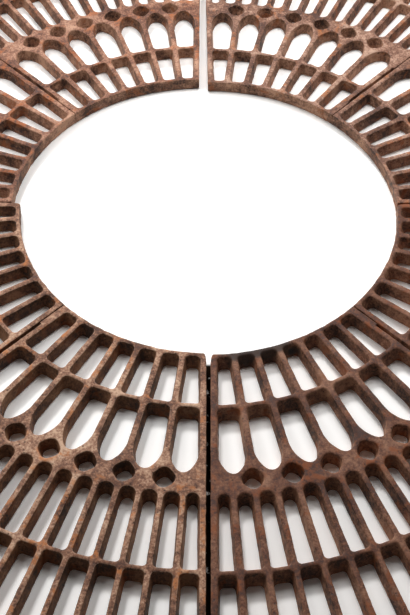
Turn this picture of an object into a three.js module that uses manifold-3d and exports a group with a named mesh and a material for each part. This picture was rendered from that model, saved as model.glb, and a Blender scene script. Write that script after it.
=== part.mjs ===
// A round cast iron tree grate, laid out as four loose quarters. Millimetres, +Z up, viewer at -Y.
// The origin is the middle of the laid-out grate, on the plane that it rests on.
// Each quarter is two castings of 45 degrees, held together at the diagonal by two bolts.
import * as THREE from "three";
import { mergeVertices } from "three/addons/utils/BufferGeometryUtils.js";
import Module from "manifold-3d";

const wasm = await Module();
wasm.setup();

// The whole grate
const openingRadius = 305;
const thickness = 21.5;
const quarterCount = 4;
const castingsPerQuarter = 2;

// Along a radius, from the tree opening outwards
const innerRimWidth = 6.2;
const shortSlotLength = 81.8;
const slotRingWidth = 5.7;
const archSlotLength = 102.5;
const bandWidth = 31.5;
const longSlotLength = 109.2;
const outerRingWidth = 5.4;
const rimSlotLength = 103.1;
const outerRimWidth = 12.2;

// Across a radius
const shortSlotCount = 7; // short and arched slots of one casting
const longSlotsPerShortSlot = 2;
const shortRibWidth = 8.4;
const longRibWidth = 7.4;
const sideRibWidth = 8.9;
const sideRelief = 4.3; // a side face stands back from the true sector line
const ribShift = 1.7; // the ribs stand this much nearer to the seam than to the joint
const shortSlotCorner = 7;
const archSlotCorner = 8;
const archRise = 35; // length over which an arched slot closes
const longSlotInnerCorner = 11;
const longSlotOuterCorner = 4.5;
const rimSlotCorner = 5;
const smallHoleRadius = 15.2;
const smallHoleInset = 11.4; // hole centres lie this far outside the arch tips
const smallHoleShift = 2.8; // hole centres stand this much nearer to the seam than the ribs

// Every opening narrows towards the underside, where its sides stand in by these widths
const ribTaper = 3;
const innerEndTaper = 8.5; // at the end of a slot that is nearer to the tree opening
const outerEndTaper = 2.5;
const smallHoleTaper = 4.5;

// The joint between the two castings of a quarter
const grooveWidth = 4;
const seatGap = 0.3;
const cutOverrun = 2;
const innerLugLength = 48;
const bandLugLead = 26; // the lug at the band starts this far inside the arch tips
const boltLugLength = 26;

// The seam corners of the front quarters are rounded off, those of the back quarters are square
const frontCornerWidth = 4.4;
const frontCornerLength = 23;
const backCornerWidth = 0.8;
const backCornerLength = 0.8;

// Bolts, washers and nuts
const shankRadius = 4.75;
const boltHoleRadius = 5.5;
const headAcrossFlats = 14.3;
const headHeight = 6.1;
const nutAcrossFlats = 14.3;
const nutHeight = 8.3;
const threadEnd = 2.6; // thread that stands out of the nut
const washerRadius = 10.2;
const washerThickness = 1.6;
const washerBoreRadius = 5.1;

// How the quarters lie. A seam's width is measured at the tree opening.
const frontSeamWidth = 5;
const backSeamWidth = 15;
const leftSeamWidth = 0.6;
const rightSeamWidth = 0.6;
const frontSeamOffset = 6.5; // seam middles, measured from the first quarter's own centre lines
const backSeamOffset = -2.3;
const rightSeamOffset = -2.3;
const backRightTurnDegrees = 0.9;

// Facets
const shortCornerSteps = 1;
const longCornerSteps = 1;
const roundEndSteps = 1;
const archSteps = 6;
const smallHoleSteps = 8;
const innerArcSteps = 8;
const outerArcSteps = 10;
const frontCornerSteps = 3;
const backCornerSteps = 1;
const roundSteps = 8;
const hexSteps = 6;

// Shape shares
const cornerLimitShare = 0.46; // most of an edge that one corner may take
const smallHoleExponent = 1.6; // 2 is a circle, 1 is a diamond
const archExponent = 1.1; // 1 is an ellipse

const castingColours = [0x7d5a4a, 0x86624f];
const fastenerColour = 0x5d453a;
const rustyIronFinish = { roughness: 0.85, metalness: 0.3 };

// Radii that follow from the widths
const shortSlotInner = openingRadius + innerRimWidth;
const shortSlotOuter = shortSlotInner + shortSlotLength;
const archSlotInner = shortSlotOuter + slotRingWidth;
const archSlotOuter = archSlotInner + archSlotLength;
const longSlotInner = archSlotOuter + bandWidth;
const longSlotOuter = longSlotInner + longSlotLength;
const rimSlotInner = longSlotOuter + outerRingWidth;
const rimSlotOuter = rimSlotInner + rimSlotLength;
const outerRadius = rimSlotOuter + outerRimWidth;
const smallHoleCircle = archSlotOuter + smallHoleInset;
const boltCircles = {
  inner: (longSlotInner + longSlotOuter) / 2,
  outer: (rimSlotInner + rimSlotOuter) / 2,
};

// Angles of one casting
const quarterAngle = (2 * Math.PI) / quarterCount;
const castingAngle = quarterAngle / castingsPerQuarter;
const halfCasting = castingAngle / 2;
const slotInset = sideRelief + sideRibWidth;
const longSlotCount = shortSlotCount * longSlotsPerShortSlot;
const shortRow = { count: shortSlotCount, ribWidth: shortRibWidth, evenRadius: archSlotInner };
const longRow = { count: longSlotCount, ribWidth: longRibWidth, evenRadius: rimSlotOuter };

// The castings of a quarter move together until the groove has its width
const castingShift = sideRelief - grooveWidth / 2;
const seamInset = sideRelief + castingShift * Math.cos(castingAngle);
const ribFace = grooveWidth / 2 + sideRibWidth;

// How far the sides of an opening stand in, at the top and at the underside. The rib at the joint is
// upright in the long rows, because washers seat on it.
const topTaper = { rib: 0, innerEnd: 0, outerEnd: 0, smallHole: 0 };
const undersideTaper = {
  rib: ribTaper,
  innerEnd: innerEndTaper,
  outerEnd: outerEndTaper,
  smallHole: smallHoleTaper,
};

// A point at a distance from the centre, on the line beside a radial line and parallel to it
function besideLine(angle, inset, radius) {
  const along = Math.sqrt(Math.max(radius * radius - inset * inset, 0));
  const point = new THREE.Vector2(along, inset);
  return point.rotateAround(new THREE.Vector2(), angle);
}

// The lines that bound the slots of a row: two sides of the casting, and the ribs between them,
// spaced so that the slots are about equally wide at one radius
function slotLines({ count, ribWidth, evenRadius }, taper, jointTaper) {
  const lostWidth = 2 * (slotInset - ribWidth / 2);
  const pitch = (castingAngle - lostWidth / evenRadius) / count;
  const lines = [{ angle: -halfCasting, half: slotInset + taper.rib }];
  for (let k = 1; k < count; k++) {
    const angle = (k - count / 2) * pitch - ribShift / evenRadius;
    lines.push({ angle, half: ribWidth / 2 + taper.rib });
  }
  lines.push({ angle: halfCasting, half: slotInset + jointTaper });
  return lines;
}

// A closed outline whose corners are rounded, each with its own reach
function roundedOutline(corners) {
  const points = [];
  corners.forEach((corner, k) => {
    const before = corners[(k + corners.length - 1) % corners.length].at;
    const after = corners[(k + 1) % corners.length].at;
    const reach = Math.min(
      corner.reach,
      cornerLimitShare * corner.at.distanceTo(before),
      cornerLimitShare * corner.at.distanceTo(after),
    );
    const start = before.clone().sub(corner.at).setLength(reach).add(corner.at);
    const end = after.clone().sub(corner.at).setLength(reach).add(corner.at);
    const bend = new THREE.QuadraticBezierCurve(start, corner.at, end);
    points.push(...bend.getPoints(corner.steps));
  });
  return points;
}

// Corners of a slot between two lines, from its inner end outwards
function slotCorners(low, high, inner, outer, innerCorner, outerCorner) {
  return [
    { at: besideLine(high.angle, -high.half, inner), ...innerCorner },
    { at: besideLine(low.angle, low.half, inner), ...innerCorner },
    { at: besideLine(low.angle, low.half, outer), ...outerCorner },
    { at: besideLine(high.angle, -high.half, outer), ...outerCorner },
  ];
}

function straightSlot(low, high, inner, outer, taper, innerCorner, outerCorner) {
  const start = inner + taper.innerEnd;
  const end = outer - taper.outerEnd;
  return roundedOutline(slotCorners(low, high, start, end, innerCorner, outerCorner));
}

function shortSlot(low, high, taper) {
  const corner = { reach: shortSlotCorner, steps: shortCornerSteps };
  return straightSlot(low, high, shortSlotInner, shortSlotOuter, taper, corner, corner);
}

function longSlot(low, high, taper) {
  const inner = { reach: longSlotInnerCorner, steps: roundEndSteps };
  const outer = { reach: longSlotOuterCorner, steps: longCornerSteps };
  return straightSlot(low, high, longSlotInner, longSlotOuter, taper, inner, outer);
}

function rimSlot(low, high, taper) {
  const corner = { reach: rimSlotCorner, steps: longCornerSteps };
  return straightSlot(low, high, rimSlotInner, rimSlotOuter, taper, corner, corner);
}

// An arched slot: a straight inner end, and an outer end that closes in a slightly pointed arch
function archSlot(low, high, taper) {
  const shoulder = archSlotOuter - taper.outerEnd - archRise;
  const corner = { reach: archSlotCorner, steps: shortCornerSteps };
  const inner = roundedOutline(
    slotCorners(low, high, archSlotInner + taper.innerEnd, shoulder, corner, corner),
  ).slice(0, 2 * (shortCornerSteps + 1));
  const arch = [];
  for (let k = 0; k <= archSteps; k++) {
    const turn = (Math.PI * k) / archSteps;
    const radius = shoulder + archRise * Math.sin(turn);
    const across = Math.sign(Math.cos(turn)) * Math.abs(Math.cos(turn)) ** archExponent;
    const lowSide = besideLine(low.angle, low.half, radius);
    const highSide = besideLine(high.angle, -high.half, radius);
    arch.push(lowSide.lerp(highSide, (1 - across) / 2));
  }
  return [...inner, ...arch];
}

function smallHole(ribAngle, taper) {
  const angle = ribAngle - smallHoleShift / smallHoleCircle;
  const centre = new THREE.Vector2(smallHoleCircle, 0).rotateAround(new THREE.Vector2(), angle);
  const points = [];
  for (let k = 0; k < smallHoleSteps; k++) {
    const turn = (2 * Math.PI * k) / smallHoleSteps;
    const spread =
      Math.abs(Math.cos(turn)) ** smallHoleExponent + Math.abs(Math.sin(turn)) ** smallHoleExponent;
    const radius = (smallHoleRadius - taper.smallHole) * spread ** (-1 / smallHoleExponent);
    const point = new THREE.Vector2(radius, 0).rotateAround(new THREE.Vector2(), turn + angle);
    points.push(point.add(centre));
  }
  return points;
}

// The outlines of all openings, at the top or at the underside
function castingOpenings(taper) {
  const openings = [];
  const shortLines = slotLines(shortRow, taper, taper.rib);
  const longLines = slotLines(longRow, taper, topTaper.rib);
  for (let k = 0; k < shortSlotCount; k++) {
    openings.push(shortSlot(shortLines[k], shortLines[k + 1], taper));
    openings.push(archSlot(shortLines[k], shortLines[k + 1], taper));
  }
  for (let k = 1; k < shortSlotCount; k++) openings.push(smallHole(shortLines[k].angle, taper));
  for (let k = 0; k < longSlotCount; k++) {
    openings.push(longSlot(longLines[k], longLines[k + 1], taper));
    openings.push(rimSlot(longLines[k], longLines[k + 1], taper));
  }
  return openings;
}

// Where the lugs stand on the side face at the diagonal, as distances from the centre
function lugSpans() {
  const halfBoltLug = boltLugLength / 2;
  return [
    [openingRadius, openingRadius + innerLugLength],
    [archSlotOuter - bandLugLead, longSlotInner],
    [boltCircles.inner - halfBoltLug, boltCircles.inner + halfBoltLug],
    [boltCircles.outer - halfBoltLug, boltCircles.outer + halfBoltLug],
  ];
}

function arcPoints(radius, fromAngle, toAngle, steps) {
  const points = [];
  for (let k = 0; k <= steps; k++) {
    const angle = THREE.MathUtils.lerp(fromAngle, toAngle, k / steps);
    points.push(new THREE.Vector2(radius, 0).rotateAround(new THREE.Vector2(), angle));
  }
  return points;
}

// The outline of a casting about +X, with the joint side at positive angles
function castingOutline(hasLugs, corner) {
  const lugInset = sideRelief - grooveWidth + seatGap;
  const jointInset = hasLugs ? lugInset : sideRelief;
  const arcStart = Math.asin((sideRelief + corner.width) / openingRadius) - halfCasting;
  const innerArc = arcPoints(
    openingRadius,
    arcStart,
    halfCasting - Math.asin(jointInset / openingRadius),
    innerArcSteps,
  );
  const joint = [];
  if (hasLugs) {
    lugSpans().forEach(([start, end]) => {
      if (start > openingRadius) {
        joint.push(besideLine(halfCasting, -sideRelief, start));
        joint.push(besideLine(halfCasting, -lugInset, start));
      }
      joint.push(besideLine(halfCasting, -lugInset, end));
      joint.push(besideLine(halfCasting, -sideRelief, end));
    });
  }
  const outerEnd = halfCasting - Math.asin(sideRelief / outerRadius);
  const outerArc = arcPoints(outerRadius, outerEnd, -outerEnd, outerArcSteps);
  const cornerBend = new THREE.QuadraticBezierCurve(
    besideLine(-halfCasting, sideRelief, openingRadius + corner.length),
    besideLine(-halfCasting, sideRelief, openingRadius),
    innerArc[0],
  ).getPoints(corner.steps);
  return [...innerArc, ...joint, ...outerArc, ...cornerBend.slice(0, -1)];
}

function toSolid(geometry) {
  const bare = geometry.clone();
  bare.deleteAttribute("normal");
  bare.deleteAttribute("uv");
  const merged = mergeVertices(bare);
  return new wasm.Manifold(
    new wasm.Mesh({
      numProp: 3,
      vertProperties: merged.attributes.position.array,
      triVerts: Uint32Array.from(merged.index.array),
    }),
  );
}

function toGeometry(solid) {
  const mesh = solid.getMesh();
  const geometry = new THREE.BufferGeometry();
  geometry.setAttribute("position", new THREE.BufferAttribute(mesh.vertProperties, 3));
  geometry.setIndex(new THREE.BufferAttribute(mesh.triVerts, 1));
  return geometry;
}

function makeMesh(name, geometry, colour) {
  const material = new THREE.MeshStandardMaterial({ color: colour, ...rustyIronFinish });
  const mesh = new THREE.Mesh(geometry, material);
  mesh.name = name;
  return mesh;
}

// What an opening takes out of the slab, from its outline at the top to the one at the underside
function openingCutter(top, underside) {
  const extrusion = { depth: thickness, bevelEnabled: false };
  const cutter = new THREE.ExtrudeGeometry(new THREE.Shape(top), extrusion);
  const places = cutter.attributes.position;
  for (let v = 0; v < places.count; v++) {
    const place = new THREE.Vector2(places.getX(v), places.getY(v));
    const gaps = top.map((point) => point.distanceTo(place));
    const k = gaps.indexOf(Math.min(...gaps));
    const depthShare = (thickness - places.getZ(v)) / thickness;
    place.lerpVectors(top[k], underside[k], depthShare);
    places.setXY(v, place.x, place.y);
  }
  return toSolid(cutter);
}

// A casting in its quarter, whose diagonal is +X. Side is 1 or -1, for above or below the diagonal.
function makeCasting(name, side, hasLugs, corner, colour) {
  const jointSide = (points) => points.map((p) => new THREE.Vector2(p.x, -side * p.y));
  const shape = new THREE.Shape(jointSide(castingOutline(hasLugs, corner)));
  const slab = new THREE.ExtrudeGeometry(shape, { depth: thickness, bevelEnabled: false });
  const mesh = makeMesh(name, slab, colour);
  mesh.rotation.z = side * halfCasting;
  mesh.position.y = -side * castingShift;
  mesh.updateMatrix();
  const toCasting = mesh.matrix.clone().invert();
  const holeLength = 2 * (ribFace + cutOverrun);
  let solid = toSolid(slab);
  const undersides = castingOpenings(undersideTaper);
  castingOpenings(topTaper).forEach((outline, k) => {
    solid = solid.subtract(openingCutter(jointSide(outline), jointSide(undersides[k])));
  });
  Object.values(boltCircles).forEach((radius) => {
    const drill = new THREE.CylinderGeometry(boltHoleRadius, boltHoleRadius, holeLength, roundSteps);
    drill.translate(radius, 0, thickness / 2);
    solid = solid.subtract(toSolid(drill.applyMatrix4(toCasting)));
  });
  mesh.geometry = toGeometry(solid);
  return mesh;
}

function hexPrism(acrossFlats, height) {
  const cornerRadius = acrossFlats / Math.sqrt(3);
  return new THREE.CylinderGeometry(cornerRadius, cornerRadius, height, hexSteps).rotateY(
    Math.PI / hexSteps,
  );
}

// Fasteners lie along Y, with the head on the positive side
function boltGeometry() {
  const headSeat = ribFace + 2 * seatGap + washerThickness;
  const nutEnd = ribFace + 3 * seatGap + washerThickness + nutHeight;
  const shankLength = headSeat + nutEnd + threadEnd;
  const head = hexPrism(headAcrossFlats, headHeight).translate(0, headSeat + headHeight / 2, 0);
  const shank = new THREE.CylinderGeometry(
    shankRadius,
    shankRadius,
    shankLength + headHeight / 2,
    roundSteps,
  ).translate(0, headSeat + headHeight / 2 - (shankLength + headHeight / 2) / 2, 0);
  return toGeometry(toSolid(head).add(toSolid(shank)));
}

function washerGeometry(seatSide) {
  const low = -washerThickness / 2;
  const high = washerThickness / 2;
  const profile = [
    new THREE.Vector2(washerBoreRadius, low),
    new THREE.Vector2(washerRadius, low),
    new THREE.Vector2(washerRadius, high),
    new THREE.Vector2(washerBoreRadius, high),
    new THREE.Vector2(washerBoreRadius, low),
  ];
  const place = seatSide * (ribFace + seatGap + washerThickness / 2);
  return new THREE.LatheGeometry(profile, roundSteps).translate(0, place, 0);
}

function nutGeometry() {
  const bore = shankRadius + seatGap;
  const prism = hexPrism(nutAcrossFlats, nutHeight);
  const drill = new THREE.CylinderGeometry(bore, bore, nutHeight + 2 * cutOverrun, roundSteps);
  const place = ribFace + 2 * seatGap + washerThickness + nutHeight / 2;
  return toGeometry(toSolid(prism).subtract(toSolid(drill))).translate(0, -place, 0);
}

function makeFastening(suffix, radius, headSide) {
  const group = new THREE.Group();
  group.add(
    makeMesh(`bolt_${suffix}`, boltGeometry(), fastenerColour),
    makeMesh(`head_washer_${suffix}`, washerGeometry(1), fastenerColour),
    makeMesh(`nut_washer_${suffix}`, washerGeometry(-1), fastenerColour),
    makeMesh(`nut_${suffix}`, nutGeometry(), fastenerColour),
  );
  group.position.set(radius, 0, thickness / 2);
  group.rotation.z = headSide > 0 ? 0 : Math.PI;
  return group;
}

// A quarter about its own centre. signX and signY say where it lies, seamX and seamY where its two
// side faces start at the tree opening.
function makeQuarter({ name, castings, signX, signY, seamX, seamY, turnDegrees, corner }) {
  const quarter = new THREE.Group();
  const diagonal = Math.atan2(signY, signX);
  const lugSide = signX * signY;
  const inner = new THREE.Group();
  inner.rotation.z = diagonal;
  inner.add(
    makeCasting(castings[0], lugSide, true, corner, castingColours[0]),
    makeCasting(castings[1], -lugSide, false, corner, castingColours[1]),
  );
  Object.entries(boltCircles).forEach(([place, radius]) => {
    inner.add(makeFastening(`${name}_${place}`, radius, lugSide));
  });
  const turn = THREE.MathUtils.degToRad(turnDegrees);
  const centre = new THREE.Vector2();
  const sideCorner = new THREE.Vector2(signX * openingRadius, signY * seamInset);
  const endCorner = new THREE.Vector2(signX * seamInset, signY * openingRadius);
  quarter.position.x = seamX - endCorner.rotateAround(centre, turn).x;
  quarter.position.y = seamY - sideCorner.rotateAround(centre, turn).y;
  quarter.rotation.z = turn;
  quarter.add(inner);
  return quarter;
}

const frontCorner = {
  width: frontCornerWidth,
  length: frontCornerLength,
  steps: frontCornerSteps,
};
const backCorner = {
  width: backCornerWidth,
  length: backCornerLength,
  steps: backCornerSteps,
};

const quarters = [
  {
    name: "front_left",
    castings: ["casting_front_left", "casting_left_front"],
    signX: -1,
    signY: -1,
    seamX: frontSeamOffset - frontSeamWidth / 2,
    seamY: -leftSeamWidth / 2,
    turnDegrees: 0,
    corner: frontCorner,
  },
  {
    name: "front_right",
    castings: ["casting_front_right", "casting_right_front"],
    signX: 1,
    signY: -1,
    seamX: frontSeamOffset + frontSeamWidth / 2,
    seamY: rightSeamOffset - rightSeamWidth / 2,
    turnDegrees: 0,
    corner: frontCorner,
  },
  {
    name: "back_left",
    castings: ["casting_back_left", "casting_left_back"],
    signX: -1,
    signY: 1,
    seamX: backSeamOffset - backSeamWidth / 2,
    seamY: leftSeamWidth / 2,
    turnDegrees: 0,
    corner: backCorner,
  },
  {
    name: "back_right",
    castings: ["casting_back_right", "casting_right_back"],
    signX: 1,
    signY: 1,
    seamX: backSeamOffset + backSeamWidth / 2,
    seamY: rightSeamOffset + rightSeamWidth / 2,
    turnDegrees: backRightTurnDegrees,
    corner: backCorner,
  },
];

const layout = new THREE.Group();
quarters.forEach((quarter) => layout.add(makeQuarter(quarter)));
layout.updateMatrixWorld(true);
const middle = new THREE.Box3().setFromObject(layout, true).getCenter(new THREE.Vector3());
layout.position.set(-middle.x, -middle.y, 0);

const treeGrate = new THREE.Group();
treeGrate.add(layout);

export default treeGrate;
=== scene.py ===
# A round cast iron tree grate: eight slotted castings, bolted in pairs as quarters, that lie loose
# on a pale floor. Sizes are in millimetres, and each piece is scaled to metres when it is finished.
import math

import bmesh
import bpy
from mathutils import Matrix, Vector, geometry, noise


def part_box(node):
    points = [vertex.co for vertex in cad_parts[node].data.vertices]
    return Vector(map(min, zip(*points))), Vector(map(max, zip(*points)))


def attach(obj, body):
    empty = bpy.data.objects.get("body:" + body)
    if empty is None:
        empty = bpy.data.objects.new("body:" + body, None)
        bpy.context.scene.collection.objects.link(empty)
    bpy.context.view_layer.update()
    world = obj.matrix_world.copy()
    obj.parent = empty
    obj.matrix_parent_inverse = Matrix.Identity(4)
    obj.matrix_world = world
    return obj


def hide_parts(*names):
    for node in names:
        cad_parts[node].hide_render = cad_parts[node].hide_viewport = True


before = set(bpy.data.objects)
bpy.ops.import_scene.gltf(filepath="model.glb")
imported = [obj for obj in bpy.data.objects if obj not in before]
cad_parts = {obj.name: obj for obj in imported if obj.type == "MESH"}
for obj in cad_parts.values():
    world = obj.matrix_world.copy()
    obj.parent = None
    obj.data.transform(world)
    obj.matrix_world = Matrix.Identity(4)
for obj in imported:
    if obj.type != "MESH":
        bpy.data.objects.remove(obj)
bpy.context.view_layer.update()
scene = bpy.context.scene
scene.view_settings.view_transform = "Standard"
metre = 0.001  # one millimetre in metres
up = Vector((0, 0, 1))
quarterTurn = math.tau / 4
print("frame loaded")


# Camera
cameraSetup = {
    "place": (5.508, -1270.0, 1341.8),
    "lookDown": 51.356,  # degrees under the horizontal
    "turn": 0.223,
    "roll": -0.134,
    "lens": 66.97,
    "sensor": 36,
}


def makeCamera(setup):
    data = bpy.data.cameras.new("viewCamera")
    data.sensor_fit = "VERTICAL"
    data.sensor_height = setup["sensor"]
    data.lens = setup["lens"]
    camera = bpy.data.objects.new("viewCamera", data)
    scene.collection.objects.link(camera)
    tilt = math.radians(90 - setup["lookDown"])
    camera.matrix_world = (
        Matrix.Translation(Vector(setup["place"]) * metre)
        @ Matrix.Rotation(math.radians(setup["turn"]), 4, "Z")
        @ Matrix.Rotation(tilt, 4, "X")
        @ Matrix.Rotation(math.radians(setup["roll"]), 4, "Z")
    )
    scene.camera = camera


makeCamera(cameraSetup)
print("camera placed")


# Node materials
def tone(hexColour):
    # sRGB hex to linear
    channels = [int(hexColour[k:k + 2], 16) / 255 for k in (1, 3, 5)]
    linear = [c / 12.92 if c <= 0.04045 else ((c + 0.055) / 1.055) ** 2.4 for c in channels]
    return (*linear, 1.0)


def addNode(tree, kind, links=None, **settings):
    # a link is a fixed value, an output, or a node whose first output is meant
    node = tree.nodes.new("ShaderNode" + kind)
    for name, value in settings.items():
        setattr(node, name, value)
    for socket, value in (links or {}).items():
        if isinstance(value, bpy.types.Node):
            value = next(output for output in value.outputs if output.enabled)
        if isinstance(value, bpy.types.NodeSocket):
            tree.links.new(value, node.inputs[socket])
        else:
            node.inputs[socket].default_value = value
    return node


def newMaterial(name):
    material = bpy.data.materials.new(name)
    material.use_nodes = True
    material.node_tree.nodes.clear()
    return material, material.node_tree


def perMetre(size):
    # texture scale for features of this many millimetres
    return 1 / (size * metre)


def setStops(ramp, stops):
    elements = ramp.color_ramp.elements
    while len(elements) < len(stops):
        elements.new(1)  # its place is set below
    for element, (place, colour) in zip(elements, stops):
        element.position = place
        element.color = tone(colour)


def maskFrom(tree, signals, windows, strength=1.0):
    # every window lets its signal through smoothly, 0 at its start and 1 at its end
    mask = strength
    for name, start, end in windows:
        window = addNode(
            tree,
            "MapRange",
            {"Value": signals[name], "From Min": start, "From Max": end},
            interpolation_type="SMOOTHSTEP",
        )
        mask = addNode(tree, "Math", {0: mask, 1: window}, operation="MULTIPLY")
    return mask


def weighedSum(tree, signals, shares):
    total = 0.0
    for name, share in shares.items():
        links = {0: signals[name], 1: share, 2: total}
        total = addNode(tree, "Math", links, operation="MULTIPLY_ADD")
    return total


# Bare grey iron from a sand mould, left outdoors: a dusty pink brown film of oxide on the trodden
# tops, orange bloom in patches, dark brown scale on the walls, a sandy grain and small blow holes.
# Each quarter's tops and walls are tinted lighter or darker as a whole.
ironLook = {
    # the noises: size of their features, detail, roughness, distortion
    "clouds": {
        "patches": (55, 3, 0.6, 0.0),
        "mottle": (11, 5, 0.7, 0.0),
        "grain": (3.2, 2, 0.6, 0.0),  # drawn coarser than the real 0.5 mm, so that it shows
        "bloom": (38, 4, 0.65, 0.6),
    },
    "blowHoleSpacing": 8,
    "top": {
        "shares": {"patches": 0.42, "mottle": 0.28, "grain": 0.30},
        "tones": [(0.41, "#4a2c1e"), (0.48, "#7c5540"), (0.53, "#a17a62"), (0.60, "#c9a68b")],
        "bloomTone": "#b06a35",
    },
    "wall": {
        "shares": {"patches": 0.42, "mottle": 0.34, "grain": 0.24},
        "tones": [(0.42, "#322018"), (0.50, "#7e5a46"), (0.58, "#b0876d")],
        "bloomTone": "#8a4c25",
    },
    "tints": {
        "front_left": {"top": "#ffffff", "wall": "#cfc6b6"},
        "front_right": {"top": "#b29e95", "wall": "#f2ece8"},
        "back_left": {"top": "#e7d8d5", "wall": "#ffffff"},
        "back_right": {"top": "#e2dfe5", "wall": "#ffffff"},
    },
    # the masks: windows with their signal, start and end, then the strength
    "masks": {
        "top": ([("facing", 0.55, 0.95)], 1.0),
        "bloom": ([("bloom", 0.53, 0.64), ("mottle", 0.40, 0.56)], 0.8),
        # the rounded edges are painted paler: rubbed wear, and a painted highlight where they catch
        # the light
        "lipWearSheen": ([("facing", 0.55, 0.95), ("facing", 0.985, 0.80), ("grain", 0.36, 0.56)], 0.7),
        "blowHole": ([("holeDistance", 0.24, 0.08), ("holeChoice", 0.55, 0.62)], 0.8),
        # blackened along the inner rim of the front right quarter, in millimetres
        "rimStain": (
            [
                ("radius", 319, 311),
                ("x", 22, 42),
                ("x", 132, 118),
                ("y", 0, -10),
                ("mottle", 0.26, 0.42),
            ],
            0.85,
        ),
        "wallStain": ([("stainDistance", 15, 7.5), ("mottle", 0.26, 0.42)], 1.0),
    },
    "wallStainPlace": (129, -292, 12),
    # the pale edge tone: rubbed wear, and a painted highlight
    "lipWearSheenTone": "#c2a18c",
    "blowHoleTone": "#2a1810",
    "stainTone": "#120e0c",
    "relief": {"mottle": 0.6, "grain": 0.4, "blowHole": -1.125},
    "bumpDepth": 0.45,
    "bumpStrength": 0.9,
    "specular": 0.25,  # rust is duller than a smooth surface
    "grainRange": (0.3, 0.7),  # the levels of the grain that make the roughness its least and most
    "roughness": (0.55, 0.8),
}


def ironSignals(tree, look):
    place = addNode(tree, "TexCoord").outputs["Object"]
    signals = {}
    for name, (size, detail, roughness, distortion) in look["clouds"].items():
        signals[name] = addNode(
            tree,
            "TexNoise",
            {
                "Vector": place,
                "Scale": perMetre(size),
                "Detail": detail,
                "Roughness": roughness,
                "Distortion": distortion,
            },
        )
    holes = addNode(
        tree,
        "TexVoronoi",
        {"Vector": place, "Scale": perMetre(look["blowHoleSpacing"]), "Randomness": 1.0},
    )
    signals["holeDistance"] = holes.outputs["Distance"]
    holeColour = addNode(tree, "SeparateColor", {0: holes.outputs["Color"]})
    signals["holeChoice"] = holeColour.outputs["Red"]
    normal = addNode(tree, "NewGeometry").outputs["Normal"]
    signals["facing"] = addNode(tree, "SeparateXYZ", {0: normal}).outputs["Z"]
    spot = addNode(tree, "VectorMath", {0: place, "Scale": 1 / metre}, operation="SCALE")
    axes = addNode(tree, "SeparateXYZ", {0: spot}).outputs
    signals["x"], signals["y"] = axes["X"], axes["Y"]
    flat = addNode(tree, "CombineXYZ", {"X": axes["X"], "Y": axes["Y"]})
    signals["radius"] = addNode(tree, "VectorMath", {0: flat}, operation="LENGTH")
    signals["stainDistance"] = addNode(
        tree, "VectorMath", {0: spot, 1: look["wallStainPlace"]}, operation="DISTANCE"
    )
    return signals


def makeIronMaterial(look, quarter):
    material, tree = newMaterial("weatheredCastIron_" + quarter)
    tints = look["tints"][quarter]
    signals = ironSignals(tree, look)
    masks = {name: maskFrom(tree, signals, *mask) for name, mask in look["masks"].items()}
    sides = {}
    for side in ("top", "wall"):
        shade = weighedSum(tree, signals, look[side]["shares"])
        ramp = addNode(tree, "ValToRGB", {"Fac": shade})
        setStops(ramp, look[side]["tones"])
        bloomTone = tone(look[side]["bloomTone"])
        # the sockets of a colour Mix: 0 is its factor, 6 and 7 are its two colours
        bloomed = addNode(tree, "Mix", {0: masks["bloom"], 6: ramp, 7: bloomTone}, data_type="RGBA")
        sides[side] = addNode(
            tree,
            "Mix",
            {0: 1.0, 6: bloomed, 7: tone(tints[side])},
            data_type="RGBA",
            blend_type="MULTIPLY",
        )
    # the pale edges, worn and with a painted highlight, take the tint of the top
    lipWearSheenTone = tuple(
        lipWearSheen * tint for lipWearSheen, tint in zip(tone(look["lipWearSheenTone"]), tone(tints["top"]))
    )
    stain = {0: masks["rimStain"], 1: masks["wallStain"]}
    stain = addNode(tree, "Math", stain, operation="MAXIMUM")
    colour = sides["wall"]
    for mask, layer in (
        (masks["top"], sides["top"]),
        (masks["lipWearSheen"], lipWearSheenTone),
        (masks["blowHole"], tone(look["blowHoleTone"])),
        (stain, tone(look["stainTone"])),
    ):
        colour = addNode(tree, "Mix", {0: mask, 6: colour, 7: layer}, data_type="RGBA")

    bump = addNode(
        tree,
        "Bump",
        {
            "Height": weighedSum(tree, {**signals, **masks}, look["relief"]),
            "Distance": look["bumpDepth"] * metre,
            "Strength": look["bumpStrength"],
        },
    )
    low, high = look["grainRange"]
    smooth, rough = look["roughness"]
    roughness = addNode(
        tree,
        "MapRange",
        {
            "Value": signals["grain"],
            "From Min": low,
            "From Max": high,
            "To Min": smooth,
            "To Max": rough,
        },
    )
    shader = addNode(
        tree,
        "BsdfPrincipled",
        {
            "Base Color": colour,
            "Metallic": 0.0,
            "Specular IOR Level": look["specular"],
            "Roughness": roughness,
            "Normal": bump,
        },
    )
    addNode(tree, "OutputMaterial", {"Surface": shader})
    return material


# Plain steel fasteners, rusted through their thin zinc: dark brown, with orange scale in places.
steelLook = {
    # the noises: size of their features, detail, roughness
    "clouds": {"mottle": (4, 5, 0.7), "grain": (1.2, 2, 0.5)},
    "tones": [(0.32, "#2c1a12"), (0.50, "#5a3622"), (0.62, "#7c4a2a"), (0.74, "#9a6238")],
    "relief": {"mottle": 1.0, "grain": 0.5},
    "bumpDepth": 0.18,
    "bumpStrength": 0.8,
    "metallic": 0.35,
    "roughness": 0.68,
}


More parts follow.
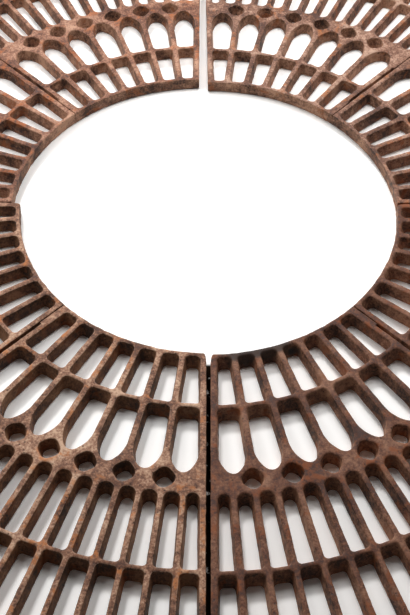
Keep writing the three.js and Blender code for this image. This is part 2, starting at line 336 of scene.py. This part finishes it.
def makeSteelMaterial(look):
    material, tree = newMaterial("rustedSteelFastener")
    place = addNode(tree, "TexCoord").outputs["Object"]
    signals = {}
    for name, (size, detail, roughness) in look["clouds"].items():
        signals[name] = addNode(
            tree,
            "TexNoise",
            {
                "Vector": place,
                "Scale": perMetre(size),
                "Detail": detail,
                "Roughness": roughness,
            },
        )
    colour = addNode(tree, "ValToRGB", {"Fac": signals["mottle"]})
    setStops(colour, look["tones"])
    bump = addNode(
        tree,
        "Bump",
        {
            "Height": weighedSum(tree, signals, look["relief"]),
            "Distance": look["bumpDepth"] * metre,
            "Strength": look["bumpStrength"],
        },
    )
    shader = addNode(
        tree,
        "BsdfPrincipled",
        {
            "Base Color": colour,
            "Metallic": look["metallic"],
            "Roughness": look["roughness"],
            "Normal": bump,
        },
    )
    addNode(tree, "OutputMaterial", {"Surface": shader})
    return material


ironMaterials = {quarter: makeIronMaterial(ironLook, quarter) for quarter in ironLook["tints"]}
steelMaterial = makeSteelMaterial(steelLook)
print("materials made")


# Castings
castingSizes = {
    "openingRadius": 305.0,
    "thickness": 21.5,
    "innerRim": 6.2,
    "shortSlot": 81.8,
    "slotRing": 5.7,
    "archSlot": 102.5,
    "band": 31.5,
    "longSlot": 109.2,
    "outerRing": 5.4,
    "rimSlot": 103.1,
    "outerRim": 12.2,
    "shortSlots": 7,
    "longSlots": 14,
    "shortRib": 8.4,
    "longRib": 7.4,
    "sideRib": 8.9,
    "sideRelief": 4.3,
    "ribShift": 1.7,  # the ribs stand this much nearer to the seam
    "shortCorner": 6.5,
    "archCorner": 7.5,
    "archShoulder": 35.0,  # the arch starts this far inside its tip
    "archBend": 13.5,
    "archTip": 23.0,
    "longCornerIn": 10.0,
    "longCornerOut": 6.0,
    "rimCorner": 6.0,
    "smallHole": 20.1,  # centre to corner, before the corners are rounded
    "smallHoleCorner": 10.5,
    "smallHoleInset": 11.4,
    "smallHoleShift": 2.8,
    # the sides of the openings stand in by these widths at the underside
    "ribTaper": 3.0,
    "innerEndTaper": 8.5,
    "outerEndTaper": 2.5,
    "smallHoleTaper": 0.3,  # as a share of the hole
    "groove": 4.0,
    "seatGap": 0.3,
    "innerLug": 48.0,
    "bandLugLead": 26.0,
    "boltLug": 26.0,
    "cornerSegments": 5,
    "archSegments": 7,
    "cornerRoom": 0.96,  # the share of a side that the roundings at its ends may take
    "cornerPull": 2 / 3,  # towards the sharp corner beside the seam
    "fillTurn": 31.7,  # degrees
    "mergeDistance": 0.01,
    "edgeSpacing": 3.6,
    "topSpacing": 7.0,
    "edgeRadius": 1.8,
    "edgeSegments": 4,
    "crownWidth": 0.7,
    "crownRise": 0.12,
    "wallSteps": 3,  # rows of faces in half a wall
    "waveSize": 24.0,
    "waveDepth": 0.35,
    "roughSize": 6.5,
    "roughDepth": 0.35,
    "topWear": 0.6,  # as a share of the wear of a wall
    "nickSize": 9.0,
    "nickStart": 0.25,
    "nickDepth": 0.9,
    "nickPlace": (40, 0, 0),  # elsewhere in the noise than the waves
    # the joints and the rims are worn deeper
    "raggedSize": 12.0,
    "raggedDepth": 1.3,
    "raggedPlace": (0, 40, 0),
}
# the inner corner beside the seam is rounded off on the front quarters
frontCorner = {"width": 4.4, "length": 23.0}
backCorner = {"width": 0.0, "length": 0.0}

castingAngle = math.tau / 8
halfCasting = castingAngle / 2


def rowRadii(s):
    radii = {"opening": s["openingRadius"]}
    radius = s["openingRadius"]
    for gap, row in (
        ("innerRim", "shortSlot"),
        ("slotRing", "archSlot"),
        ("band", "longSlot"),
        ("outerRing", "rimSlot"),
    ):
        radius += s[gap]
        start = radius
        radius += s[row]
        radii[row] = (start, radius)
    radii["outer"] = radius + s["outerRim"]
    return radii


def besideLine(angle, inset, radius):
    # a point at a radius, on the line beside a radial line and parallel to it
    along = math.sqrt(radius * radius - inset * inset)
    return Matrix.Rotation(angle, 3, "Z") @ Vector((along, inset, 0))


def slotLines(s, count, rib, evenRadius, jointTaper):
    # the lines between the slots of a row: angle, inset of the slots' sides from it, their taper
    sideLine = s["sideRelief"] + s["sideRib"]
    pitch = (castingAngle - (2 * sideLine - rib) / evenRadius) / count
    shift = s["ribShift"] / evenRadius
    lines = [(-halfCasting, sideLine, s["ribTaper"])]
    lines += [
        ((k - count / 2) * pitch - shift, rib / 2, s["ribTaper"]) for k in range(1, count)
    ]
    return lines + [(halfCasting, sideLine, jointTaper)]


def slotShift(point, s, low, high, span):
    # how far a point on the wall of a slot stands in at the underside
    (lowAngle, lowInset, lowTaper), (highAngle, highInset, highTaper) = low, high
    lowAcross = Vector((-math.sin(lowAngle), math.cos(lowAngle), 0))
    highAcross = Vector((-math.sin(highAngle), math.cos(highAngle), 0))
    fromLow = max(point.dot(lowAcross) - lowInset, 0)
    fromHigh = max(-highInset - point.dot(highAcross), 0)
    share = fromLow / (fromLow + fromHigh)
    start, end = span
    flat = Vector((point.x, point.y, 0))
    along = min(max((flat.length - start) / (end - start), 0), 1)
    outwards = s["innerEndTaper"] * (1 - along) - s["outerEndTaper"] * along
    sideways = lowAcross * lowTaper * (1 - share) - highAcross * highTaper * share
    return sideways + flat.normalized() * outwards


def holeShift(point, s, centre):
    return Vector((centre.x - point.x, centre.y - point.y, 0)) * s["smallHoleTaper"]


def addOpening(bm, s, openings, corners, reaches, segments, *shift):
    # a closed outline with rounded corners, and the function that narrows it downwards
    openings.append(shift)
    for k, corner in enumerate(corners):
        room = s["cornerRoom"] * (corner - corners[k - 1]).length
        fit = room / (reaches[k] + reaches[k - 1])
        for side in (k, k - 1):
            reaches[side] *= min(fit, 1)
    vertices = [bm.verts.new(corner) for corner in corners]
    for vertex in vertices:
        vertex[bm.verts.layers.int["border"]] = len(openings)
    bm.faces.new(vertices)
    for vertex, reach in zip(vertices, reaches):
        bmesh.ops.bevel(
            bm,
            geom=[vertex],
            offset=reach,
            segments=segments,
            profile=0.5,
            affect="VERTICES",
            material=-1,
        )


def slotEnds(low, high, radius):
    # where the two side lines of a slot cross a circle
    (lowAngle, lowInset, _), (highAngle, highInset, _) = low, high
    return besideLine(highAngle, -highInset, radius), besideLine(lowAngle, lowInset, radius)


def addSlot(bm, s, openings, low, high, span, reachIn, reachOut):
    start, end = span
    highIn, lowIn = slotEnds(low, high, start)
    highOut, lowOut = slotEnds(low, high, end)
    corners = [highIn, lowIn, lowOut, highOut]
    reaches = [reachIn, reachIn, reachOut, reachOut]
    shift = (slotShift, s, low, high, span)
    addOpening(bm, s, openings, corners, reaches, s["cornerSegments"], *shift)


def addArchSlot(bm, s, openings, low, high, span):
    # a five sided outline, whose shoulders and tip are bent into a slightly pointed arch
    start, end = span
    highIn, lowIn = slotEnds(low, high, start)
    shoulder = end - s["archShoulder"]
    highOut, lowOut = slotEnds(low, high, shoulder + s["archBend"])
    middle = (highOut + lowOut) / 2
    halfWidth = (highOut - lowOut).length / 2
    # the sloping sides touch the arch halfway up its rise
    slope = s["archShoulder"] / halfWidth
    tip = middle + middle.normalized() * halfWidth * slope
    corners = [highIn, lowIn, lowOut, tip, highOut]
    reaches = [s["archCorner"], s["archCorner"], s["archBend"], s["archTip"], s["archBend"]]
    shift = (slotShift, s, low, high, span)
    addOpening(bm, s, openings, corners, reaches, s["archSegments"], *shift)


def addSmallHole(bm, s, openings, ribAngle, circle):
    angle = ribAngle - s["smallHoleShift"] / circle
    centre = besideLine(angle, 0, circle)
    corners = [
        centre + Matrix.Rotation(angle + k * quarterTurn, 3, "Z") @ Vector((s["smallHole"], 0, 0))
        for k in range(4)
    ]
    reaches = [s["smallHoleCorner"]] * 4
    shift = (holeShift, s, centre)
    addOpening(bm, s, openings, corners, reaches, s["cornerSegments"], *shift)


def addArc(bm, start, angle, steps):
    # a row of vertices round the centre, made by spinning the first one
    first = bm.verts.new(start)
    spun = bmesh.ops.spin(
        bm, geom=[first], cent=(0, 0, 0), axis=(0, 0, 1), angle=angle, steps=steps
    )
    last = next(item for item in spun["geom_last"] if isinstance(item, bmesh.types.BMVert))
    return first, last


def addOutline(bm, s, radii, hasLugs, corner):
    lugLine = s["sideRelief"] - s["groove"] + s["seatGap"]
    jointLine = lugLine if hasLugs else s["sideRelief"]
    opening, outer = radii["opening"], radii["outer"]
    innerStart = math.asin((s["sideRelief"] + corner["width"]) / opening) - halfCasting
    innerEnd = halfCasting - math.asin(jointLine / opening)
    outerEnd = halfCasting - math.asin(s["sideRelief"] / outer)
    steps = round(opening * (innerEnd - innerStart) / s["edgeSpacing"])
    innerFirst, innerLast = addArc(
        bm, besideLine(innerStart, 0, opening), innerEnd - innerStart, steps
    )
    joint = []
    if hasLugs:
        halfLug = s["boltLug"] / 2
        bolts = [sum(radii[row]) / 2 for row in ("longSlot", "rimSlot")]
        spans = [
            (opening, opening + s["innerLug"]),
            (radii["archSlot"][1] - s["bandLugLead"], radii["longSlot"][0]),
            *[(bolt - halfLug, bolt + halfLug) for bolt in bolts],
        ]
        for start, end in spans:
            if start > opening:
                joint.append(besideLine(halfCasting, -s["sideRelief"], start))
                joint.append(besideLine(halfCasting, -lugLine, start))
            joint.append(besideLine(halfCasting, -lugLine, end))
            joint.append(besideLine(halfCasting, -s["sideRelief"], end))
    outerSteps = round(outer * 2 * outerEnd / s["edgeSpacing"])
    outerFirst, outerLast = addArc(bm, besideLine(outerEnd, 0, outer), -2 * outerEnd, outerSteps)
    bend = []
    if corner["length"] > 0:
        seamStart = besideLine(-halfCasting, s["sideRelief"], opening + corner["length"])
        seamCorner = besideLine(-halfCasting, s["sideRelief"], opening)
        arcStart = besideLine(innerStart, 0, opening)
        bend = geometry.interpolate_bezier(
            seamStart,
            seamStart.lerp(seamCorner, s["cornerPull"]),
            arcStart.lerp(seamCorner, s["cornerPull"]),
            arcStart,
            s["cornerSegments"],
        )[:-1]
    chain = [innerLast, *[bm.verts.new(p) for p in joint], outerFirst]
    chain += [outerLast, *[bm.verts.new(p) for p in bend], innerFirst]
    for first, second in zip(chain, chain[1:]):
        if {first, second} != {outerFirst, outerLast}:
            bm.edges.new((first, second))


def spaceEdges(bm, edges, spacing, isInside=False):
    # divides long edges, so that a later wave in the surface has vertices to move
    border = bm.verts.layers.int["border"]
    byCuts = {}
    for edge in edges:
        cuts = round(edge.calc_length() / spacing) - 1
        if cuts > 0:
            byCuts.setdefault(cuts, []).append(edge)
    for cuts, group in byCuts.items():
        made = bmesh.ops.subdivide_edges(bm, edges=group, cuts=cuts)["geom_inner"]
        for item in made:
            if isInside and isinstance(item, bmesh.types.BMVert):
                item[border] = 0


def roundTopEdge(bm, s, faces):
    # a quarter circle from the wall up onto the top, then a low crown
    radius = s["edgeRadius"]
    turns = [quarterTurn * k / s["edgeSegments"] for k in range(s["edgeSegments"] + 1)]
    steps = [
        (radius * (math.cos(now) - math.cos(after)), radius * (math.sin(after) - math.sin(now)))
        for now, after in zip(turns, turns[1:])
    ]
    for width, rise in [*steps, (s["crownWidth"], s["crownRise"])]:
        bmesh.ops.inset_region(
            bm, faces=faces, use_boundary=True, use_even_offset=True, thickness=width
        )
        raised = list({vertex for face in faces for vertex in face.verts})
        bmesh.ops.translate(bm, verts=raised, vec=(0, 0, rise))


def addOpenings(bm, s, radii):
    openings = []
    holeCircle = radii["archSlot"][1] + s["smallHoleInset"]
    shortLines = slotLines(
        s, s["shortSlots"], s["shortRib"], radii["archSlot"][0], s["ribTaper"]
    )
    longLines = slotLines(s, s["longSlots"], s["longRib"], radii["rimSlot"][1], 0)
    for low, high in zip(shortLines, shortLines[1:]):
        reach = s["shortCorner"]
        addSlot(bm, s, openings, low, high, radii["shortSlot"], reach, reach)
        addArchSlot(bm, s, openings, low, high, radii["archSlot"])
    for angle, _, _ in shortLines[1:-1]:
        addSmallHole(bm, s, openings, angle, holeCircle)
    for low, high in zip(longLines, longLines[1:]):
        reachIn, reachOut = s["longCornerIn"], s["longCornerOut"]
        addSlot(bm, s, openings, low, high, radii["longSlot"], reachIn, reachOut)
        addSlot(bm, s, openings, low, high, radii["rimSlot"], s["rimCorner"], s["rimCorner"])
    bmesh.ops.delete(bm, geom=bm.faces[:], context="FACES_ONLY")
    return openings


def fillFlat(bm, s, edges):
    # filled askew, because the operator can lose its way between loops that mirror each other
    askew = Matrix.Rotation(math.radians(s["fillTurn"]), 3, "Z")
    bmesh.ops.rotate(bm, verts=bm.verts[:], cent=(0, 0, 0), matrix=askew)
    filled = bmesh.ops.triangle_fill(bm, use_beauty=True, edges=edges, normal=up)
    bmesh.ops.rotate(bm, verts=bm.verts[:], cent=(0, 0, 0), matrix=askew.inverted())
    return [item for item in filled["geom"] if isinstance(item, bmesh.types.BMFace)]


def buildCasting(s, hasLugs, corner):
    # a casting about +X, with the joint side at positive angles, its middle plane at height zero
    radii = rowRadii(s)
    bm = bmesh.new()
    border = bm.verts.layers.int.new("border")  # 0 inside, 1 and up the openings, -1 the outline
    addOutline(bm, s, radii, hasLugs, corner)
    spaceEdges(bm, bm.edges[:], s["edgeSpacing"])
    for vertex in bm.verts:
        vertex[border] = -1
    outline = set(bm.edges)
    openings = addOpenings(bm, s, radii)
    spaceEdges(bm, [edge for edge in bm.edges if edge not in outline], s["edgeSpacing"])

    # the upper half: the flat top, its rounded edges and the walls down to the middle
    fillFlat(bm, s, bm.edges[:])
    wallTop = s["thickness"] / 2 - s["edgeRadius"] - s["crownRise"]
    bmesh.ops.translate(bm, verts=bm.verts[:], vec=up * wallTop)
    top = bm.faces[:]
    roundTopEdge(bm, s, top)
    rim = {e for face in top for e in face.edges if len(set(e.link_faces) - set(top)) == 1}
    bmesh.ops.delete(bm, geom=top, context="FACES")
    top = fillFlat(bm, s, list(rim))
    inside = {e for face in top for e in face.edges} - rim
    spaceEdges(bm, list(inside), s["topSpacing"], isInside=True)
    for _ in range(s["wallSteps"]):
        lowest = [e for e in bm.edges if len(e.link_faces) == 1]
        lower = bmesh.ops.extrude_edge_only(bm, edges=lowest)["geom"]
        lower = [item for item in lower if isinstance(item, bmesh.types.BMVert)]
        bmesh.ops.translate(bm, verts=lower, vec=-up * wallTop / s["wallSteps"])

    half = bm.verts[:] + bm.edges[:] + bm.faces[:]
    bmesh.ops.mirror(bm, geom=half, axis="Z", merge_dist=s["mergeDistance"])
    bmesh.ops.triangulate(bm, faces=[face for face in bm.faces if len(face.verts) > 4])
    bmesh.ops.recalc_face_normals(bm, faces=bm.faces[:])
    for vertex in bm.verts:
        if vertex[border] > 0:
            shift, *details = openings[vertex[border] - 1]
            depthShare = 0.5 - vertex.co.z / s["thickness"]
            vertex.co += shift(vertex.co, *details) * depthShare
    return bm


def boxCentre(node):
    low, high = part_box(node)
    return (low + high) / 2 / metre


def placeOnNode(bm, node):
    # lays a turned casting where its node is
    places = [v.co for v in bm.verts]
    low, high = (Vector(pick(p[k] for p in places) for k in range(3)) for pick in (min, max))
    bmesh.ops.translate(bm, verts=bm.verts[:], vec=boxCentre(node) - (low + high) / 2)


def weather(bm, s):
    # waves and a rough skin from the sand mould, and nicks, cut into the true shape from outside
    border = bm.verts.layers.int["border"]
    bm.normal_update()
    moves = []
    for vertex in bm.verts:
        place, normal = vertex.co, vertex.normal
        wave = noise.noise(place / s["waveSize"])
        rough = noise.noise(place / s["roughSize"])
        shift = s["waveDepth"] * wave + s["roughDepth"] * rough
        most = s["waveDepth"] + s["roughDepth"]
        rounded = 1 - abs(2 * abs(normal.z) - 1)  # 1 halfway round an edge
        nick = noise.noise(place / s["nickSize"] + Vector(s["nickPlace"])) - s["nickStart"]
        shift -= s["nickDepth"] * max(nick, 0) * rounded
        flat = Vector((normal.x, normal.y, 0))
        sideways = shift
        if vertex[border] < 0:
            ragged = noise.noise(place / s["raggedSize"] + Vector(s["raggedPlace"]))
            sideways = min(shift - most / 2, 0) - s["raggedDepth"] * max(ragged, 0)
        upright = min(shift - most / 2, 0) * s["topWear"]
        moves.append(flat * sideways + up * normal.z * upright)
    for vertex, move in zip(bm.verts, moves):
        vertex.co += move


sharpAngle = 50  # degrees, from which an edge isn't smoothed


def finishPiece(bm, name, material, body, node):
    bmesh.ops.scale(bm, verts=bm.verts[:], vec=(metre,) * 3)
    mesh = bpy.data.meshes.new(name)
    bm.to_mesh(mesh)
    bm.free()
    mesh.shade_smooth()
    mesh.set_sharp_from_angle(angle=math.radians(sharpAngle))
    mesh.materials.append(material)
    piece = bpy.data.objects.new(name, mesh)
    scene.collection.objects.link(piece)
    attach(piece, body)
    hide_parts(node)
    return piece


def makeCasting(pattern, node, bisector, side, quarter, s):
    bm = pattern.copy()
    if side > 0:
        bmesh.ops.scale(bm, verts=bm.verts[:], vec=(1, -1, 1))
        bmesh.ops.reverse_faces(bm, faces=bm.faces[:])
    turn = Matrix.Rotation(math.radians(bisector), 3, "Z")
    bmesh.ops.rotate(bm, verts=bm.verts[:], cent=(0, 0, 0), matrix=turn)
    placeOnNode(bm, node)
    weather(bm, s)
    material, body = ironMaterials[quarter], quarter + "_quarter"
    finishPiece(bm, "worn_" + node, material, body, node)


# the lugged casting, which names the quarter, the plain one, the angle of their joint, the side of
# it that the lugged casting lies on (1 is anticlockwise), and the inner corner
quarters = [
    ("front_left", "left_front", -135, 1, frontCorner),
    ("front_right", "right_front", -45, -1, frontCorner),
    ("back_left", "left_back", 135, -1, backCorner),
    ("back_right", "right_back", 45.9, 1, backCorner),
]
patterns = {}
for lugged, plain, jointAngle, side, corner in quarters:
    for name, hasLugs, turnSide in ((lugged, True, side), (plain, False, -side)):
        key = (hasLugs, corner["length"])
        if key not in patterns:
            patterns[key] = buildCasting(castingSizes, hasLugs, corner)
        bisector = jointAngle + turnSide * math.degrees(halfCasting)
        makeCasting(patterns[key], "casting_" + name, bisector, turnSide, lugged, castingSizes)
        print("casting made:", name)
for pattern in patterns.values():
    pattern.free()


# Fasteners: 3/8 inch bolts, lying across the joints
fastenerSizes = {
    "steps": 60,
    "mergeDistance": 0.001,
    "acrossFlats": 14.3,
    "headHeight": 6.1,
    "nutHeight": 8.3,
    "chamfer": 1.1,
    "chamferRows": 4,
    "seatEdge": (0.4, 0.3),  # width and height of the small bevel under the head
    "shankRadius": 4.75,
    "ribFace": 10.9,
    "seatGap": 0.3,
    "threadPitch": 1.6,
    "threadDepth": 0.6,
    "threadEnd": 2.6,
    "threadLead": 0.2,
    "boreRadius": 5.05,
    "boreEdge": 0.5,
    "washerRadius": 10.2,
    "washerThickness": 1.6,
    "washerBore": 5.1,
    "washerEdge": 0.45,
    "bevelCorner": 0.3,  # how far a bevel's corner stands in, as a share of the bevel
    "roughSize": 3.0,
    "roughStart": 0.2,
    "roughDepth": 0.14,
}


def turnedShape(profile, s):
    # spins a profile of radius and height about the axis
    bm = bmesh.new()
    vertices = [bm.verts.new((radius, 0, height)) for radius, height in profile]
    edges = [bm.edges.new(pair) for pair in zip(vertices, vertices[1:])]
    bmesh.ops.spin(
        bm,
        geom=vertices + edges,
        cent=(0, 0, 0),
        axis=(0, 0, 1),
        angle=math.tau,
        steps=s["steps"],
        use_merge=True,
    )
    bmesh.ops.remove_doubles(bm, verts=bm.verts[:], dist=s["mergeDistance"])
    bmesh.ops.recalc_face_normals(bm, faces=bm.faces[:])
    return bm


def cutHexagon(bm, acrossFlats):
    # presses what stands outside the six flats back onto them
    for vertex in bm.verts:
        angle = math.atan2(vertex.co.y, vertex.co.x)
        fromFlat = (angle + math.pi / 6) % (math.pi / 3) - math.pi / 6
        limit = acrossFlats / 2 / math.cos(fromFlat)
        radius = math.hypot(vertex.co.x, vertex.co.y)
        if radius > limit:
            vertex.co.x *= limit / radius
            vertex.co.y *= limit / radius


def chamferRing(s, height):
    # radius and height from the rim of a hexagon's end face to its corners
    faceRadius = s["acrossFlats"] / 2 - s["bevelCorner"] * s["chamfer"]
    cornerRadius = s["acrossFlats"] / math.sqrt(3)
    rows = s["chamferRows"]
    return [
        (
            faceRadius + (cornerRadius - faceRadius) * k / rows,
            height - s["chamfer"] * k / rows,
        )
        for k in range(rows + 1)
    ]


def boltProfile(s):
    seat = s["ribFace"] + 2 * s["seatGap"] + s["washerThickness"]
    nutEnd = s["ribFace"] + 3 * s["seatGap"] + s["washerThickness"] + s["nutHeight"]
    top = seat + s["headHeight"]
    end = -nutEnd - s["threadEnd"]
    threadTop = -s["ribFace"]
    profile = [(0, top), (s["shankRadius"], top), *chamferRing(s, top)]
    cornerRadius = s["acrossFlats"] / math.sqrt(3)
    width, rise = s["seatEdge"]
    profile += [(cornerRadius, seat + rise), (cornerRadius - width, seat)]
    profile += [(s["shankRadius"], height) for height in (seat, 0, threadTop)]
    root = s["shankRadius"] - s["threadDepth"]
    turns = round((threadTop - end) / s["threadPitch"]) - 1
    for k in range(turns):
        crest = threadTop - (k + 1) * s["threadPitch"]
        profile += [(root, crest + s["threadPitch"] / 2), (s["shankRadius"], crest)]
    profile += [(root - s["threadLead"], end), (0, end)]
    return profile


def nutProfile(s):
    half, bore, edge = s["nutHeight"] / 2, s["boreRadius"], s["boreEdge"]
    low = [(radius, -height) for radius, height in chamferRing(s, half)]
    profile = [(bore + edge, half), *chamferRing(s, half), *reversed(low)]
    profile += [(bore + edge, -half), (bore, edge - half), (bore, half - edge), (bore + edge, half)]
    return profile


def washerProfile(s):
    half, edge = s["washerThickness"] / 2, s["washerEdge"]
    outer, bore = s["washerRadius"], s["washerBore"]
    corner = s["bevelCorner"] * edge
    return [
        (bore, half),
        (outer - edge, half),
        (outer - corner, half - corner),
        (outer, half - edge),
        (outer, edge - half),
        (outer - corner, corner - half),
        (outer - edge, -half),
        (bore, -half),
        (bore, half),
    ]


def seatFastener(bm, origin, axis, along):
    turn = Matrix((up, axis.cross(up), axis)).transposed()
    bmesh.ops.rotate(bm, verts=bm.verts[:], cent=(0, 0, 0), matrix=turn)
    bmesh.ops.translate(bm, verts=bm.verts[:], vec=origin + axis * along)


def roughenFastener(bm, s):
    bm.normal_update()
    for vertex in bm.verts:
        rough = noise.noise(vertex.co / s["roughSize"])
        vertex.co += vertex.normal * s["roughDepth"] * min(rough - s["roughStart"], 0)


def makeFastening(quarter, place, s):
    suffix = f"{quarter}_{place}"
    headWasher = boxCentre("head_washer_" + suffix)
    nutWasher = boxCentre("nut_washer_" + suffix)
    origin, axis = (headWasher + nutWasher) / 2, (headWasher - nutWasher).normalized()
    washerPlace = s["ribFace"] + s["seatGap"] + s["washerThickness"] / 2
    nutPlace = s["ribFace"] + 2 * s["seatGap"] + s["washerThickness"] + s["nutHeight"] / 2
    for kind, profile, along, isHexagon in (
        ("bolt_", boltProfile(s), 0, True),
        ("nut_", nutProfile(s), -nutPlace, True),
        ("head_washer_", washerProfile(s), washerPlace, False),
        ("nut_washer_", washerProfile(s), -washerPlace, False),
    ):
        bm = turnedShape(profile, s)
        if isHexagon:
            cutHexagon(bm, s["acrossFlats"])
        seatFastener(bm, origin, axis, along)
        roughenFastener(bm, s)
        node = kind + suffix
        finishPiece(bm, "rusty_" + node, steelMaterial, quarter + "_quarter", node)


for quarter, *_ in quarters:
    for place in ("inner", "outer"):
        makeFastening(quarter, place, fastenerSizes)
print("fasteners made")


# Studio: a white floor, one clear lamp behind, two wide lamps at the sides, a lamp overhead
studio = {
    "floorSize": 9000,
    "floorDrop": 0.3,
    "floorTone": "#f1f0ee",
    # the camera sees the floor brighter than the iron does, and more so far away from the lamps
    "floorLift": 1.28,
    "farFloorLift": 5.5,
    "farFloor": [("away", 900, 3400)],  # a window: signal, start, end
    # the near black of the painted shadow under the front seam
    "seamShadowTone": "#1c130d",
    "shadowBreakupSize": 14,
    "shadowBreakupDetail": 3,
    # a painted shadow on the paper under the narrow front seam, broken up by noise
    "seamShadow": [
        ("aside", 9, 5.4),
        ("y", -300, -306),
        ("y", -752, -732),
        ("shadowBreakup", 0.30, 0.40),
    ],
    "worldLevel": 0.035,
    "lamps": [
        # name, azimuth, elevation, distance, width, share of the light on the floor
        ("backLamp", 105, 38, 7400, 1065, 0.379),
        ("rightLamp", 35, 34, 1700, 290, 0.071),
        ("leftLamp", 164, 48, 1340, 780, 0.343),
        ("overheadLamp", 60, 60, 1230, 700, 0.595),
    ],
}


def directRays(tree):
    # 1 for what the camera sees, also in a shiny or through a clear piece
    path = addNode(tree, "LightPath").outputs
    seen = path["Is Camera Ray"]
    for kind in ("Is Glossy Ray", "Is Transmission Ray"):
        seen = addNode(tree, "Math", {0: seen, 1: path[kind]}, operation="MAXIMUM")
    return seen


def floorSignals(tree, s):
    place = addNode(tree, "TexCoord").outputs["Object"]
    spot = addNode(tree, "VectorMath", {0: place, "Scale": 1 / metre}, operation="SCALE")
    axes = addNode(tree, "SeparateXYZ", {0: spot}).outputs
    left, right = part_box("casting_front_left")[1].x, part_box("casting_front_right")[0].x
    seam = (left + right) / 2 / metre
    aside = addNode(tree, "Math", {0: axes["X"], 1: seam}, operation="SUBTRACT")
    return {
        "aside": addNode(tree, "Math", {0: aside}, operation="ABSOLUTE"),
        "y": axes["Y"],
        "away": addNode(tree, "VectorMath", {0: spot}, operation="LENGTH"),
        # a noise that breaks up the painted shadow under the front seam
        "shadowBreakup": addNode(
            tree,
            "TexNoise",
            {
                "Vector": place,
                "Scale": perMetre(s["shadowBreakupSize"]),
                "Detail": s["shadowBreakupDetail"],
            },
        ),
    }


def makeFloor(s):
    material, tree = newMaterial("whitePaperFloor")
    signals = floorSignals(tree, s)
    paper = tone(s["floorTone"])
    near, far = (
        tuple(channel * s[lift] for channel in paper[:3]) + (1.0,)
        for lift in ("floorLift", "farFloorLift")
    )
    farMask = maskFrom(tree, signals, s["farFloor"])
    seen = addNode(tree, "Mix", {0: farMask, 6: near, 7: far}, data_type="RGBA")
    colour = paper
    for mask, layer in (
        (directRays(tree), seen),
        # the painted shadow under the front seam
        (maskFrom(tree, signals, s["seamShadow"]), tone(s["seamShadowTone"])),
    ):
        colour = addNode(tree, "Mix", {0: mask, 6: colour, 7: layer}, data_type="RGBA")
    diffuse = addNode(tree, "BsdfDiffuse", {"Color": colour})
    addNode(tree, "OutputMaterial", {"Surface": diffuse})
    bm = bmesh.new()
    bmesh.ops.create_grid(bm, size=s["floorSize"] / 2 * metre)
    bmesh.ops.translate(bm, verts=bm.verts[:], vec=(0, 0, -s["floorDrop"] * metre))
    mesh = bpy.data.meshes.new("floor")
    bm.to_mesh(mesh)
    bm.free()
    mesh.materials.append(material)
    floor = bpy.data.objects.new("floor", mesh)
    scene.collection.objects.link(floor)


def makeWorld(s):
    world = bpy.data.worlds.new("studioWorld")
    world.use_nodes = True
    tree = world.node_tree
    tree.nodes.clear()
    strength = addNode(
        tree,
        "MapRange",
        {"Value": directRays(tree), "To Min": s["worldLevel"], "To Max": 1.0},
    )
    glow = addNode(tree, "Background", {"Color": (1, 1, 1, 1), "Strength": strength})
    addNode(tree, "OutputWorld", {"Surface": glow})
    scene.world = world


def addLamp(name, azimuth, elevation, distance, width, share):
    data = bpy.data.lights.new(name, "AREA")
    data.shape = "DISK"
    data.size = width * metre
    rise = math.radians(elevation)
    turn = math.radians(azimuth)
    away = Vector(
        (math.cos(rise) * math.cos(turn), math.cos(rise) * math.sin(turn), math.sin(rise))
    )
    reach = distance * metre
    # the power at which a white floor under all lamps renders as white
    data.energy = share * (math.pi * reach) ** 2 / math.sin(rise)
    lamp = bpy.data.objects.new(name, data)
    lamp.location = away * reach
    lamp.rotation_euler = away.to_track_quat("Z", "Y").to_euler()
    scene.collection.objects.link(lamp)


makeFloor(studio)
makeWorld(studio)
for lamp in studio["lamps"]:
    addLamp(*lamp)
print("studio lit")
